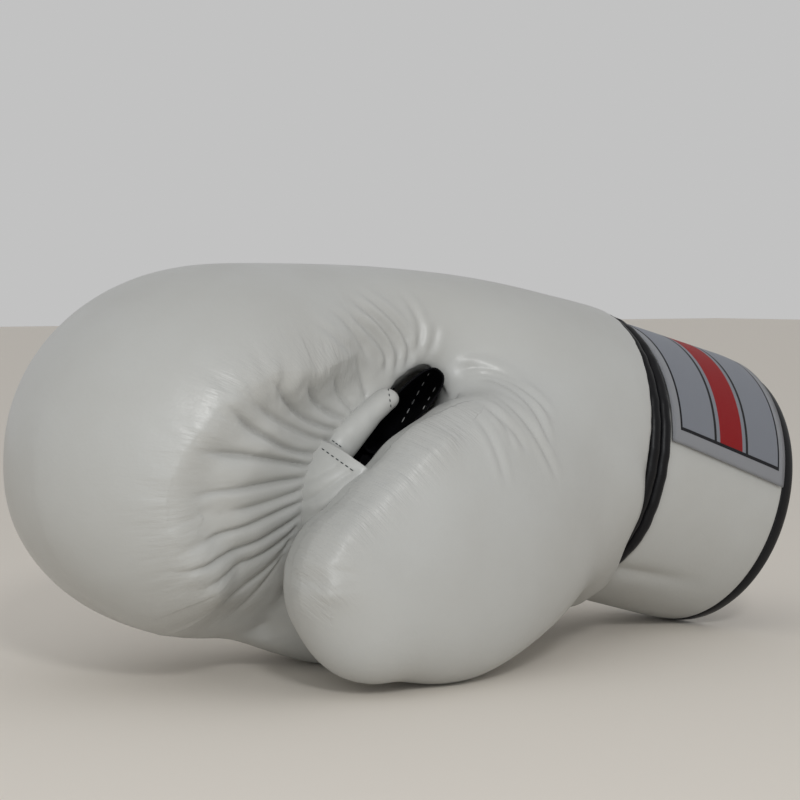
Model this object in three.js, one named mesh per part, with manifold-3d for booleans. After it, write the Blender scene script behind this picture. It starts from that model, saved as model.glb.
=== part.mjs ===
// Right-hand boxing glove, lying palm down on a flat surface with its thumb towards -Y.
// The fist points along -X and the open cuff along +X. Millimetres, +Z up, floor at z = 0.
// Model coordinates have x = 0 at the wrist seam, where the padded mitt meets the cuff.
import * as THREE from 'three';
import * as BufferGeometryUtils from 'three/addons/utils/BufferGeometryUtils.js';
import Module from 'manifold-3d';

const wasm = await Module();
wasm.setup();

// Mitt: the padded fist with the back of the hand, from the wrist seam to the knuckles
const mittLength = 228;
const mittHeight = 144;
const mittWidth = 124;
const mittRoundness = 2.25;
const frontCapShare = 0.336;

// Cuff: the padded wrist tube, which slopes down until its rim touches the floor
const cuffLength = 82.5;
const cuffHeight = 102;
const cuffWidth = 97;
const cuffWall = 13;
const cuffTilt = THREE.MathUtils.degToRad(15);
const seamSkew = THREE.MathUtils.degToRad(4);
const cuffFlare = 0.5;
const mittOverhang = 6.2;
const restPress = 1;

// Closure strap round the cuff, its label and the black edges
const strapThickness = 2.2;
const strapOverlap = THREE.MathUtils.degToRad(70);
const strapTailAngle = THREE.MathUtils.degToRad(15);
const strapRamp = THREE.MathUtils.degToRad(6);
const labelThickness = 0.8;
const labelNearAngle = THREE.MathUtils.degToRad(80);
const labelFarAngle = THREE.MathUtils.degToRad(60);
const labelMargin = 1.5;
const bindingRadius = 2.6;
const pipingRadius = 2.8;
const rimBindingLength = 8;
const rimBindingThickness = 1.6;

// Hand pocket, finger channel and thumb tunnel
const pocketWidth = 74;
const pocketHeight = 40;
const pocketOffset = 14;
const thumbTunnelRadius = 13;

// Palm slot between the palm, the curled fingers and the thumb
const slotWidth = 20;
const slotDepth = 54;
const slotSlope = 0.85;
const slotMouthSide = 38;
const dentDepth = 24;
const dentReach = 30;
const dentOnset = 1.6;
const linerThickness = 2;

// Thumb lobe
const thumbHeight = 86;
const thumbThickness = 54;
const thumbRoundness = 2.2;
const thumbBaseRound = 22;
const thumbTipRound = 26;

// Small leather pieces in the slot
const facingThickness = 9;
const facingDepth = 28;
const facingProud = 5;
const thumbStrapThickness = 1.8;
const thumbStrapHem = 0.2;
const thumbStrapTuck = 3;
const thumbStrapSeat = 4;
const thumbStrapBow = 2;

// Pleats of the mitt's leather round the slot
const pleatDepth = 3.2;
const pleatWidth = 7;
const pleatLength = 52;

const clearance = 0.3;
const aroundMitt = 40;
const aroundThumb = 28;
const aroundCuff = 48;
const aroundRoll = 6;

const rimHalfHeight = cuffHeight / 2 + cuffFlare + clearance + rimBindingThickness;
const seamHeight = rimHalfHeight * Math.cos(cuffTilt) + cuffLength * Math.sin(cuffTilt) - restPress;

// Mitt sections: along from the seam (share of mittLength), centre height and half heights
// (shares of mittHeight), half widths (shares of mittWidth), lean from upright in degrees
const mittSections = [
  { along: 0.07, rise: 0.508, lean: 8, up: 0.41, down: 0.415, near: 0.48, far: 0.46 },
  { along: 0.17, rise: 0.52, lean: 6, up: 0.432, down: 0.435, near: 0.488, far: 0.474 },
  { along: 0.302, rise: 0.528, lean: 4, up: 0.454, down: 0.505, near: 0.493, far: 0.492 },
  { along: 0.455, rise: 0.521, lean: 1, up: 0.474, down: 0.535, near: 0.496, far: 0.508 },
  { along: 0.56, rise: 0.518, lean: 0, up: 0.479, down: 0.488, near: 0.5, far: 0.515 },
  { along: 0.65, rise: 0.52, lean: 0, up: 0.477, down: 0.432, near: 0.5, far: 0.516 },
];

// The slot's upper edge in the side view, from the crotch beside the thumb down to the fingertips,
// and how far the slot opens below it, as a share of slotWidth
const slotEdge = [
  { along: 0.365, rise: 0.7, open: 0.25 },
  { along: 0.395, rise: 0.735, open: 0.28 },
  { along: 0.45, rise: 0.71, open: 0.5 },
  { along: 0.515, rise: 0.65, open: 0.85 },
  { along: 0.576, rise: 0.572, open: 1 },
  { along: 0.622, rise: 0.465, open: 0.8 },
  { along: 0.632, rise: 0.37, open: 0.55 },
  { along: 0.642, rise: 0.24, open: 0.45 },
  { along: 0.652, rise: 0.1, open: 0.4 },
];

// Thumb spine from base to tip: along and rise as above, side as a share of mittWidth to -Y,
// half height and half thickness as shares of thumbHeight and thumbThickness
const thumbSections = [
  { along: 0.075, rise: 0.4, side: 0.29, high: 0.34, thick: 0.34 },
  { along: 0.2, rise: 0.395, side: 0.365, high: 0.49, thick: 0.45 },
  { along: 0.35, rise: 0.345, side: 0.425, high: 0.555, thick: 0.5 },
  { along: 0.465, rise: 0.27, side: 0.46, high: 0.49, thick: 0.5 },
  { along: 0.57, rise: 0.22, side: 0.475, high: 0.345, thick: 0.45 },
];

// Thumb tunnel, from the hand pocket into the thumb lobe
const thumbTunnel = [
  { along: 0.13, rise: 0.53, side: 0.12 },
  { along: 0.35, rise: 0.38, side: 0.38 },
  { along: 0.48, rise: 0.29, side: 0.46 },
];

// Hand pocket spine, from the seam over the palm and round the curled fingers
const pocketSections = [
  { along: 0.07, rise: 0.54, wide: 0.48, high: 0.74 },
  { along: 0.22, rise: 0.635, wide: 0.49, high: 0.56 },
  { along: 0.43, rise: 0.7, wide: 0.49, high: 0.42 },
  { along: 0.62, rise: 0.69, wide: 0.49, high: 0.36 },
  { along: 0.745, rise: 0.62, wide: 0.48, high: 0.33 },
  { along: 0.8, rise: 0.49, wide: 0.46, high: 0.31 },
  { along: 0.78, rise: 0.36, wide: 0.42, high: 0.28 },
];

// Pleats: where each starts on the slot's upper edge (share of the edge's rows from the crotch), its
// length and depth as shares of pleatLength and pleatDepth, and its turn from square in degrees
const pleats = [
  { start: 0.1, length: 0.55, depth: 0.6, turn: -30 },
  { start: 0.16, length: 0.6, depth: 0.7, turn: -22 },
  { start: 0.22, length: 0.62, depth: 0.85, turn: -16 },
  { start: 0.28, length: 0.6, depth: 0.9, turn: -10 },
  { start: 0.34, length: 0.7, depth: 1, turn: -6 },
  { start: 0.4, length: 0.9, depth: 1, turn: -2 },
  { start: 0.46, length: 1, depth: 1, turn: 2 },
  { start: 0.52, length: 1, depth: 1, turn: 4 },
  { start: 0.58, length: 1, depth: 0.95, turn: 6 },
  { start: 0.64, length: 1, depth: 0.9, turn: 8 },
  { start: 0.7, length: 0.95, depth: 0.8, turn: 12 },
  { start: 0.76, length: 0.9, depth: 0.7, turn: 18 },
  { start: 0.83, length: 0.75, depth: 0.55, turn: 24 },
];

// Which stretch of the slot's edge carries the rolled leather facing and the thumb strap
const facingStretch = { from: 0.24, to: 0.5 };
const thumbStrapStretch = { from: 0.5, to: 0.74 };

// Thumb strap corners on the thumb: along and rise as above, side as a share of mittWidth to -Y
const thumbStrapOnThumb = [
  { along: 0.545, rise: 0.5, side: 0.44 },
  { along: 0.585, rise: 0.45, side: 0.43 },
  { along: 0.62, rise: 0.365, side: 0.4 },
];

const white = { color: 0xd6d5ce, roughness: 0.45, metalness: 0 };
const black = { color: 0x0b0b0e, roughness: 0.35, metalness: 0 };
const blackCloth = { color: 0x0a0a0f, roughness: 0.95, metalness: 0 };
const grey = { color: 0x8d9096, roughness: 0.6, metalness: 0 };

// Triangles that fill a flat ring in the side view, wound as the ring runs or against it
function flatCap(ring, alongRing) {
  const flat = ring.map((p) => new THREE.Vector2(p.x, p.z));
  const ringTurn = THREE.ShapeUtils.area(flat) > 0;
  return THREE.ShapeUtils.triangulateShape(flat, []).map(([a, b, c]) => {
    const faceTurn = THREE.ShapeUtils.area([flat[a], flat[b], flat[c]]) > 0;
    return (faceTurn === ringTurn) === alongRing ? [a, b, c] : [a, c, b];
  });
}

// A closed solid lofted through rings of equal count, with a fan to a point over each end, or
// flat ends where no points are given
function loftRings(rings, startPoint, endPoint) {
  const count = rings[0].length;
  const last = (rings.length - 1) * count;
  const points = rings.flat();
  const index = [];
  for (let j = 0; j < count; j += 1) {
    const next = (j + 1) % count;
    for (let a = 0; a < last; a += count) {
      const b = a + count;
      index.push(a + j, a + next, b + next);
      index.push(a + j, b + next, b + j);
    }
    if (startPoint) index.push(points.length, next, j);
    if (endPoint) index.push(points.length + 1, last + j, last + next);
  }
  if (startPoint) {
    points.push(startPoint, endPoint);
  } else {
    index.push(...flatCap(rings[0], false).flat());
    index.push(...flatCap(rings.at(-1), true).flat().map((i) => last + i));
  }
  const geometry = new THREE.BufferGeometry();
  geometry.setAttribute('position', new THREE.Float32BufferAttribute(points.flatMap((p) => [p.x, p.y, p.z]), 3));
  geometry.setIndex(index);
  return geometry;
}

function centreOf(ring) {
  return ring.reduce((sum, p) => sum.add(p), new THREE.Vector3()).divideScalar(ring.length);
}

function toSolid(source) {
  let geometry = source.clone();
  geometry.deleteAttribute('normal');
  geometry.deleteAttribute('uv');
  geometry = BufferGeometryUtils.mergeVertices(geometry, 1e-4);
  const mesh = new wasm.Mesh({
    numProp: 3,
    vertProperties: new Float32Array(geometry.attributes.position.array),
    triVerts: new Uint32Array(geometry.index.array),
  });
  const solid = new wasm.Manifold(mesh);
  if (solid.volume() > 0) return solid;
  const turned = new Uint32Array(geometry.index.array);
  for (let i = 0; i < turned.length; i += 3) [turned[i], turned[i + 1]] = [turned[i + 1], turned[i]];
  return new wasm.Manifold(new wasm.Mesh({
    numProp: 3,
    vertProperties: new Float32Array(geometry.attributes.position.array),
    triVerts: turned,
  }));
}

function toGeometry(solid) {
  const mesh = solid.getMesh();
  const geometry = new THREE.BufferGeometry();
  geometry.setAttribute('position', new THREE.BufferAttribute(new Float32Array(mesh.vertProperties), 3));
  geometry.setIndex(new THREE.BufferAttribute(new Uint32Array(mesh.triVerts), 1));
  geometry.computeVertexNormals();
  return geometry;
}

function boxSolid(low, high) {
  const size = high.clone().sub(low);
  const geometry = new THREE.BoxGeometry(size.x, size.y, size.z);
  geometry.translate((low.x + high.x) / 2, (low.y + high.y) / 2, (low.z + high.z) / 2);
  return toSolid(geometry);
}

// Smooth value of one table column at a place along it (cubic through the rows)
function columnAt(rows, key, column, at) {
  const last = rows.length - 1;
  let i = 0;
  while (i < last - 1 && rows[i + 1][key] < at) i += 1;
  const row = (k) => rows[Math.min(Math.max(k, 0), last)];
  const [x0, x1, x2, x3] = [row(i - 1)[key], row(i)[key], row(i + 1)[key], row(i + 2)[key]];
  const [y0, y1, y2, y3] = [row(i - 1)[column], row(i)[column], row(i + 1)[column], row(i + 2)[column]];
  const span = x2 - x1;
  const slope1 = x2 > x0 ? ((y2 - y0) / (x2 - x0)) * span : y2 - y1;
  const slope2 = x3 > x1 ? ((y3 - y1) / (x3 - x1)) * span : y2 - y1;
  const t = THREE.MathUtils.clamp((at - x1) / span, 0, 1);
  const t2 = t * t;
  const t3 = t2 * t;
  return (2 * t3 - 3 * t2 + 1) * y1 + (t3 - 2 * t2 + t) * slope1 + (3 * t2 - 2 * t3) * y2 + (t3 - t2) * slope2;
}

function sidePoint(row, y = 0) {
  return new THREE.Vector3(-row.along * mittLength, y, row.rise * mittHeight);
}

// One point of a rounded-square section, angle 0 at the far side (+Y) and 90 degrees at the top
function roundedPoint(angle, power) {
  const c = Math.cos(angle);
  const s = Math.sin(angle);
  return {
    across: Math.sign(c) * Math.abs(c) ** (2 / power),
    rise: Math.sign(s) * Math.abs(s) ** (2 / power),
  };
}

// The slot's upper edge in the side view, with its direction and the way out from the slot
const slotCurve = new THREE.CatmullRomCurve3(slotEdge.map((row) => sidePoint(row)));
const slotShares = slotEdge.map((row, i) => ({ ...row, share: i / (slotEdge.length - 1) }));

function slotFrame(share) {
  const tangent = slotCurve.getTangent(share);
  return {
    edge: slotCurve.getPoint(share),
    tangent,
    outward: new THREE.Vector3(tangent.z, 0, -tangent.x),
    open: columnAt(slotShares, 'share', 'open', share) * slotWidth,
  };
}

// How far the slot's walls have sunk at a depth behind the mitt's thumb side
function slotSink(y) {
  return slotSlope * Math.max(0, y + slotMouthSide);
}

// A point inside the slot: share along the edge, distance in from it, and place across the hand
function slotPoint(share, inward, y) {
  const { edge, outward } = slotFrame(share);
  const point = edge.addScaledVector(outward, -inward);
  return point.set(point.x, y, point.z - slotSink(y));
}

const slotEdgeSamples = Array.from({ length: 33 }, (_, i) => slotCurve.getPoint(i / 32));

// The leather dips towards the slot's edge, on the thumb side only
function dentAt(point) {
  const nearest = Math.min(...slotEdgeSamples.map((p) => Math.hypot(p.x - point.x, p.z - point.z)));
  return dentDepth * Math.exp(-((nearest / dentReach) ** 2));
}

// The section at the wrist seam follows the cuff's own size; the others follow the table
function mittRows() {
  const seamRow = {
    along: 0,
    rise: seamHeight / mittHeight,
    lean: THREE.MathUtils.radToDeg(cuffTilt - seamSkew),
    up: (cuffHeight / 2 + mittOverhang) / mittHeight,
    down: (cuffHeight / 2 + mittOverhang) / mittHeight,
    near: (cuffWidth / 2 + mittOverhang) / mittWidth,
    far: (cuffWidth / 2 + mittOverhang) / mittWidth,
  };
  return [seamRow, ...mittSections];
}

function mittRing(rows, along, shrink) {
  const get = (column) => columnAt(rows, 'along', column, Math.min(along, rows.at(-1).along));
  const lean = THREE.MathUtils.degToRad(get('lean'));
  const ring = [];
  for (let j = 0; j < aroundMitt; j += 1) {
    const { across, rise } = roundedPoint((j / aroundMitt) * 2 * Math.PI, mittRoundness);
    const side = across > 0 ? get('far') : get('near');
    const high = rise > 0 ? get('up') : get('down');
    const offset = high * rise * shrink * mittHeight;
    const point = new THREE.Vector3(
      -along * mittLength + offset * Math.sin(lean),
      side * across * shrink * mittWidth,
      get('rise') * mittHeight + offset * Math.cos(lean),
    );
    if (across < 0) point.y += dentAt(point) * Math.min(1, -across * dentOnset);
    ring.push(point);
  }
  return ring;
}

// The mitt's whole outer form, closed over the knuckles and at the wrist seam
function mittForm() {
  const rows = mittRows();
  const capStart = 1 - frontCapShare;
  const straightSteps = 15;
  const capSteps = 10;
  const rings = [];
  for (let i = 0; i <= straightSteps; i += 1) rings.push(mittRing(rows, (capStart * i) / straightSteps, 1));
  for (let i = 1; i < capSteps; i += 1) {
    const angle = (i / capSteps) * (Math.PI / 2);
    rings.push(mittRing(rows, capStart + frontCapShare * Math.sin(angle), Math.cos(angle)));
  }
  const front = new THREE.Vector3(-mittLength, 0, rows.at(-1).rise * mittHeight);
  return loftRings(rings, centreOf(rings[0]), front);
}

function thumbForm(grow) {
  const rows = thumbSections.map((row, i) => ({ ...row, share: i / (thumbSections.length - 1) }));
  const at = (column, share) => columnAt(rows, 'share', column, share);
  const place = (share) => new THREE.Vector3(
    -at('along', share) * mittLength,
    -at('side', share) * mittWidth,
    at('rise', share) * mittHeight,
  );
  const ringAt = (share, shrink, push) => {
    const tangent = place(Math.min(share + 0.02, 1)).sub(place(Math.max(share - 0.02, 0))).normalize();
    const across = new THREE.Vector3(0, 1, 0).addScaledVector(tangent, -tangent.y).normalize();
    const high = new THREE.Vector3().crossVectors(tangent, across).normalize();
    const centre = place(share).addScaledVector(tangent, push);
    return Array.from({ length: aroundThumb }, (_, j) => {
      const unit = roundedPoint((j / aroundThumb) * 2 * Math.PI, thumbRoundness);
      return centre.clone()
        .addScaledVector(across, unit.across * (at('thick', share) * thumbThickness * shrink + grow))
        .addScaledVector(high, unit.rise * (at('high', share) * thumbHeight * shrink + grow));
    });
  };
  const steps = 12;
  const capSteps = 6;
  const rings = [];
  for (let i = 1; i < capSteps; i += 1) {
    const angle = (1 - i / capSteps) * (Math.PI / 2);
    rings.push(ringAt(0, Math.cos(angle), -(thumbBaseRound + grow) * Math.sin(angle)));
  }
  for (let i = 0; i <= steps; i += 1) rings.push(ringAt(i / steps, 1, 0));
  for (let i = 1; i < capSteps; i += 1) {
    const angle = (i / capSteps) * (Math.PI / 2);
    rings.push(ringAt(1, Math.cos(angle), (thumbTipRound + grow) * Math.sin(angle)));
  }
  return loftRings(rings, centreOf(rings[0]), centreOf(rings.at(-1)));
}

// The slot's hollow: its side-view outline, run in from the thumb side and sinking as it goes
function slotForm(inset) {
  const steps = 20;
  const sides = [-mittWidth, -slotMouthSide, slotDepth - mittWidth / 2 - inset];
  const rings = sides.map((y) => {
    const upper = [];
    const lower = [];
    for (let i = 0; i <= steps; i += 1) {
      const { open } = slotFrame(i / steps);
      upper.push(slotPoint(i / steps, inset, y));
      lower.push(slotPoint(i / steps, Math.max(open - inset, inset + clearance), y));
    }
    for (const side of [upper, lower]) {
      side[0].lerp(side[1], inset / side[0].distanceTo(side[1]));
      side[steps].lerp(side[steps - 1], inset / side[steps].distanceTo(side[steps - 1]));
    }
    return [...upper, ...lower.reverse()];
  });
  return loftRings(rings);
}

// A tube of rounded sections that follows a spine
function spineTube(spine, halfAcross, halfHigh, count, steps) {
  const rings = [];
  for (let i = 0; i <= steps; i += 1) {
    const share = i / steps;
    const centre = spine.getPoint(share);
    const tangent = spine.getTangent(share);
    const across = new THREE.Vector3(0, 1, 0).addScaledVector(tangent, -tangent.y).normalize();
    const high = new THREE.Vector3().crossVectors(tangent, across).normalize();
    rings.push(Array.from({ length: count }, (_, j) => {
      const unit = roundedPoint((j / count) * 2 * Math.PI, mittRoundness);
      return centre.clone()
        .addScaledVector(across, unit.across * halfAcross(share))
        .addScaledVector(high, unit.rise * halfHigh(share));
    }));
  }
  return loftRings(rings, centreOf(rings[0]), centreOf(rings.at(-1)));
}

// The hand's hollow: the cuff's bore, flattening over the palm and curling round the fingers
function pocketForm() {
  const mouth = {
    along: -0.02,
    rise: seamHeight / mittHeight,
    wide: (cuffWidth / 2 - cuffWall) / pocketWidth,
    high: (cuffHeight / 2 - cuffWall) / pocketHeight,
    shift: 0,
  };
  const rows = [mouth, ...pocketSections].map((row, i, all) => ({ shift: 1, ...row, share: i / (all.length - 1) }));
  const spine = new THREE.CatmullRomCurve3(rows.map((row) => sidePoint(row, row.shift * pocketOffset)));
  return spineTube(
    spine,
    (share) => columnAt(rows, 'share', 'wide', share) * pocketWidth,
    (share) => columnAt(rows, 'share', 'high', share) * pocketHeight,
    24,
    20,
  );
}

function thumbTunnelForm() {
  const spine = new THREE.CatmullRomCurve3(thumbTunnel.map((row) => sidePoint(row, -row.side * mittWidth)));
  return spineTube(spine, () => thumbTunnelRadius, () => thumbTunnelRadius * 1.15, 14, 8);
}

// One pleat: a narrow wedge cut into the leather, deepest at the slot and running out to nothing
function pleatForm(pleat, surfaceY) {
  const { edge, tangent, outward } = slotFrame(pleat.start);
  const turn = THREE.MathUtils.degToRad(pleat.turn);
  const along = outward.clone().multiplyScalar(Math.cos(turn)).addScaledVector(tangent, Math.sin(turn));
  const side = new THREE.Vector3(along.z, 0, -along.x);
  const start = edge.addScaledVector(outward, -1);
  const steps = 5;
  const rings = [];
  for (let i = 0; i <= steps; i += 1) {
    const share = i / steps;
    const place = start.clone().addScaledVector(along, share * pleat.length * pleatLength);
    const fade = 1 - share ** 2;
    const depth = pleat.depth * pleatDepth * fade;
    const half = 0.5 * pleatWidth * (0.35 + 0.65 * fade);
    place.y = surfaceY(place);
    rings.push([
      place.clone().addScaledVector(side, half).setY(place.y - pleatDepth),
      place.clone().addScaledVector(side, -half).setY(place.y - pleatDepth),
      place.clone().setY(place.y + depth),
    ]);
  }
  return loftRings(rings, centreOf(rings[0]), centreOf(rings.at(-1)));
}

// The rolled leather along the fingers' side of the slot: an oval section that follows the edge
function facingForm() {
  const steps = 12;
  const around = 12;
  const rings = [];
  for (let i = 0; i <= steps; i += 1) {
    const share = THREE.MathUtils.lerp(facingStretch.from, facingStretch.to, i / steps);
    const swell = Math.sqrt(Math.max(0.12, 1 - (2 * (i / steps) - 1) ** 6));
    const seat = linerThickness + 2 * clearance;
    const thickness = Math.min(facingThickness, slotFrame(share).open - 2 * seat);
    rings.push(Array.from({ length: around }, (_, j) => {
      const unit = roundedPoint((j / around) * 2 * Math.PI, mittRoundness);
      const y = facingDepth / 2 - slotMouthSide - facingProud + (unit.across * facingDepth * swell) / 2;
      return slotPoint(share, seat + (0.5 + 0.5 * unit.rise) * thickness, y);
    }));
  }
  return loftRings(rings, centreOf(rings[0]), centreOf(rings.at(-1)));
}

// The strap from the slot's edge to the thumb: a leather sheet with a doubled hem at its open end
function thumbStrapForm(grow) {
  const steps = 8;
  const widthSteps = 6;
  const thumbSide = new THREE.CatmullRomCurve3(thumbStrapOnThumb.map((row) => sidePoint(row, -row.side * mittWidth)));
  const rings = [];
  for (let i = 0; i <= steps; i += 1) {
    const t = (i / steps) * (1 + 2 * grow / mittWidth) - grow / mittWidth;
    const share = THREE.MathUtils.lerp(thumbStrapStretch.from, thumbStrapStretch.to, t);
    const a = slotPoint(share, -thumbStrapTuck, thumbStrapSeat - slotMouthSide);
    const b = thumbSide.getPoint(THREE.MathUtils.clamp(t, 0, 1));
    const normal = new THREE.Vector3().crossVectors(slotFrame(share).tangent, b.clone().sub(a)).normalize();
    const half = thumbStrapThickness / 2 + grow + (i / steps < thumbStrapHem ? thumbStrapThickness / 4 : 0);
    const front = [];
    const back = [];
    for (let j = 0; j <= widthSteps; j += 1) {
      const past = (grow / a.distanceTo(b)) * ((2 * j) / widthSteps - 1);
      const across = a.clone().lerp(b, j / widthSteps + past);
      const bow = thumbStrapBow * Math.sin((j / widthSteps) * Math.PI);
      front.push(across.clone().addScaledVector(normal, bow + half));
      back.push(across.clone().addScaledVector(normal, bow - half));
    }
    rings.push([...front, ...back.reverse()]);
  }
  return loftRings(rings, centreOf(rings[0]), centreOf(rings.at(-1)));
}

// A point on the cuff: share of its length plus x along the axis, r out from its surface. The
// wrist seam is skewed against the axis and the rim is square to it.
function cuffPoint({ share, x, r }, angle) {
  const out = r + cuffFlare * THREE.MathUtils.clamp(share, 0, 1);
  const y = (cuffWidth / 2 + out) * Math.cos(angle);
  const z = (cuffHeight / 2 + out) * Math.sin(angle);
  const seamX = -Math.tan(seamSkew) * z;
  return new THREE.Vector3(THREE.MathUtils.lerp(seamX, cuffLength, share) + x, y, z);
}

// A closed profile run all the way round the cuff
function cuffRing(profile) {
  const rings = [];
  for (let i = 0; i < aroundCuff; i += 1) {
    const angle = (i / aroundCuff) * 2 * Math.PI;
    rings.push(profile.map((place) => cuffPoint(place, angle)));
  }
  return closedRing(rings);
}

// The same profile run part of the way, lifting by step(angle) where it laps over itself
function cuffArc(profile, from, to, step = () => 0) {
  const count = Math.ceil((aroundCuff * (to - from)) / (2 * Math.PI));
  const rings = [];
  for (let i = 0; i <= count; i += 1) {
    const angle = THREE.MathUtils.lerp(from, to, i / count);
    rings.push(profile.map((place) => cuffPoint({ ...place, r: place.r + step(angle) }, angle)));
  }
  return loftRings(rings, centreOf(rings[0]), centreOf(rings.at(-1)));
}

function closedRing(rings) {
  const count = rings[0].length;
  const index = [];
  for (let i = 0; i < rings.length; i += 1) {
    const a = i * count;
    const b = ((i + 1) % rings.length) * count;
    for (let j = 0; j < count; j += 1) {
      const next = (j + 1) % count;
      index.push(a + j, b + next, a + next);
      index.push(a + j, b + j, b + next);
    }
  }
  const geometry = new THREE.BufferGeometry();
  const positions = rings.flat().flatMap((p) => [p.x, p.y, p.z]);
  geometry.setAttribute('position', new THREE.Float32BufferAttribute(positions, 3));
  geometry.setIndex(index);
  return geometry;
}

function rollProfile(share, x, r, radius) {
  return Array.from({ length: aroundRoll }, (_, i) => {
    const angle = ((i + 0.5) / aroundRoll) * 2 * Math.PI;
    return { share, x: x + radius * Math.cos(angle), r: r + radius * Math.sin(angle) };
  });
}

// A band's section from one edge (share, x) to the other, between two heights above the cuff
function bandProfile(start, end, low, high, steps = 1) {
  const across = Array.from({ length: steps + 1 }, (_, i) => ({
    share: THREE.MathUtils.lerp(start.share, end.share, i / steps),
    x: THREE.MathUtils.lerp(start.x, end.x, i / steps),
  }));
  return [...across.map((p) => ({ ...p, r: low })), ...across.reverse().map((p) => ({ ...p, r: high }))];
}

const glove = new THREE.Group();
const handGroup = new THREE.Group();
const cuffGroup = new THREE.Group();
cuffGroup.position.set(0, 0, seamHeight);
cuffGroup.rotation.y = cuffTilt;
glove.add(handGroup, cuffGroup);
glove.updateMatrixWorld(true);

const reach = 2 * mittLength;
const floorSolid = boxSolid(new THREE.Vector3(-reach, -reach, -reach), new THREE.Vector3(reach, reach, 0));
const intoCuff = cuffGroup.matrixWorld.clone().invert();
const cuffFloorSolid = floorSolid.transform(intoCuff.elements);

// What the leather squashes flat against the floor is cut off level with it
function addPiece(group, name, solid, material) {
  const cut = solid.subtract(group === cuffGroup ? cuffFloorSolid : floorSolid);
  const mesh = new THREE.Mesh(toGeometry(cut), new THREE.MeshStandardMaterial(material));
  mesh.name = name;
  group.add(mesh);
}

// Everything on the cuff's side of the wrist seam, less a hair's gap
function beyondSeam() {
  const geometry = new THREE.BoxGeometry(reach, 2 * reach, 2 * reach);
  geometry.translate(reach / 2 - clearance, 0, 0);
  geometry.rotateY(-seamSkew);
  return toSolid(geometry).transform(cuffGroup.matrixWorld.elements);
}

function addHand() {
  const form = mittForm();
  const probe = new THREE.Mesh(form, new THREE.MeshBasicMaterial({ side: THREE.DoubleSide }));
  const raycaster = new THREE.Raycaster();
  const surfaceY = (place) => {
    raycaster.set(new THREE.Vector3(place.x, -reach, place.z), new THREE.Vector3(0, 1, 0));
    return raycaster.intersectObject(probe)[0].point.y;
  };
  const mittSolid = toSolid(form);
  const pocket = toSolid(pocketForm());
  const tunnel = toSolid(thumbTunnelForm());
  const seamGap = beyondSeam();
  const strapSeat = toSolid(thumbStrapForm(clearance));
  const thumbSeat = toSolid(thumbForm(clearance));
  let mitt = mittSolid
    .subtract(toSolid(slotForm(0)))
    .subtract(thumbSeat)
    .subtract(pocket)
    .subtract(tunnel)
    .subtract(strapSeat)
    .subtract(seamGap);
  for (const pleat of pleats) mitt = mitt.subtract(toSolid(pleatForm(pleat, surfaceY)));
  addPiece(handGroup, 'mitt_shell', mitt, white);

  const thumb = toSolid(thumbForm(0)).subtract(tunnel).subtract(pocket).subtract(strapSeat).subtract(seamGap);
  addPiece(handGroup, 'thumb', thumb, white);

  const facing = toSolid(facingForm()).subtract(thumbSeat).subtract(strapSeat);
  addPiece(handGroup, 'finger_facing', facing, white);

  const panel = toSolid(slotForm(clearance))
    .subtract(toSolid(slotForm(clearance + linerThickness)))
    .intersect(mittSolid)
    .subtract(thumbSeat)
    .subtract(strapSeat)
    .subtract(tunnel);
  addPiece(handGroup, 'palm_panel', panel, blackCloth);

  addPiece(handGroup, 'thumb_strap', toSolid(thumbStrapForm(0)), white);
}

function addCuff() {
  const seam = { share: 0, x: clearance };
  const rim = { share: 1, x: 0 };
  const rimInside = { share: 1, x: -rimBindingThickness - clearance };
  const tube = toSolid(cuffRing(bandProfile(seam, rimInside, -cuffWall, 0)));
  addPiece(cuffGroup, 'cuff', tube, white);

  const pipingX = 2 * clearance + pipingRadius;
  const piping = toSolid(cuffRing(rollProfile(0, pipingX, pipingRadius + clearance, pipingRadius)));
  addPiece(cuffGroup, 'wrist_piping', piping, black);

  const edgeX = pipingX + pipingRadius + clearance + bindingRadius;
  const edging = toSolid(cuffRing(rollProfile(0, edgeX, bindingRadius + clearance, bindingRadius)));
  addPiece(cuffGroup, 'strap_edging', edging, black);

  const strapStart = { share: 0, x: edgeX + bindingRadius + clearance };
  const strapEnd = { share: 1, x: -rimBindingLength - clearance };
  const lap = strapThickness + clearance;
  const tailStart = 2 * Math.PI + strapTailAngle - strapOverlap;
  const step = (angle) => lap * THREE.MathUtils.smoothstep(angle, tailStart - 2 * strapRamp, tailStart - strapRamp);
  const strap = toSolid(cuffArc(
    bandProfile(strapStart, strapEnd, clearance, clearance + strapThickness),
    tailStart - 2 * Math.PI,
    2 * Math.PI + strapTailAngle,
    step,
  ));
  addPiece(cuffGroup, 'closure_strap', strap, white);

  const labelStart = { ...strapStart, x: strapStart.x + labelMargin };
  const labelEnd = { ...strapEnd, x: strapEnd.x - labelMargin };
  const labelLow = lap + clearance;
  const label = toSolid(cuffArc(
    bandProfile(labelStart, labelEnd, labelLow, labelLow + labelThickness),
    Math.PI / 2 - labelFarAngle,
    Math.PI / 2 + labelNearAngle,
  ));
  addPiece(cuffGroup, 'strap_label', label, grey);

  const inner = -cuffWall - clearance;
  const outer = clearance;
  const t = rimBindingThickness;
  const binding = toSolid(cuffRing([
    { share: 1, x: -rimBindingLength, r: outer },
    { share: 1, x: -t, r: outer },
    { share: 1, x: -t, r: inner },
    { share: 1, x: -rimBindingLength, r: inner },
    { share: 1, x: -rimBindingLength, r: inner - t },
    { ...rim, r: inner - t },
    { ...rim, r: outer + t },
    { share: 1, x: -rimBindingLength, r: outer + t },
  ]));
  addPiece(cuffGroup, 'rim_binding', binding, black);
}

addHand();
addCuff();

const bounds = new THREE.Box3().setFromObject(glove);
const middle = bounds.getCenter(new THREE.Vector3());
glove.position.set(-middle.x, -middle.y, 0);

export default glove;
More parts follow.
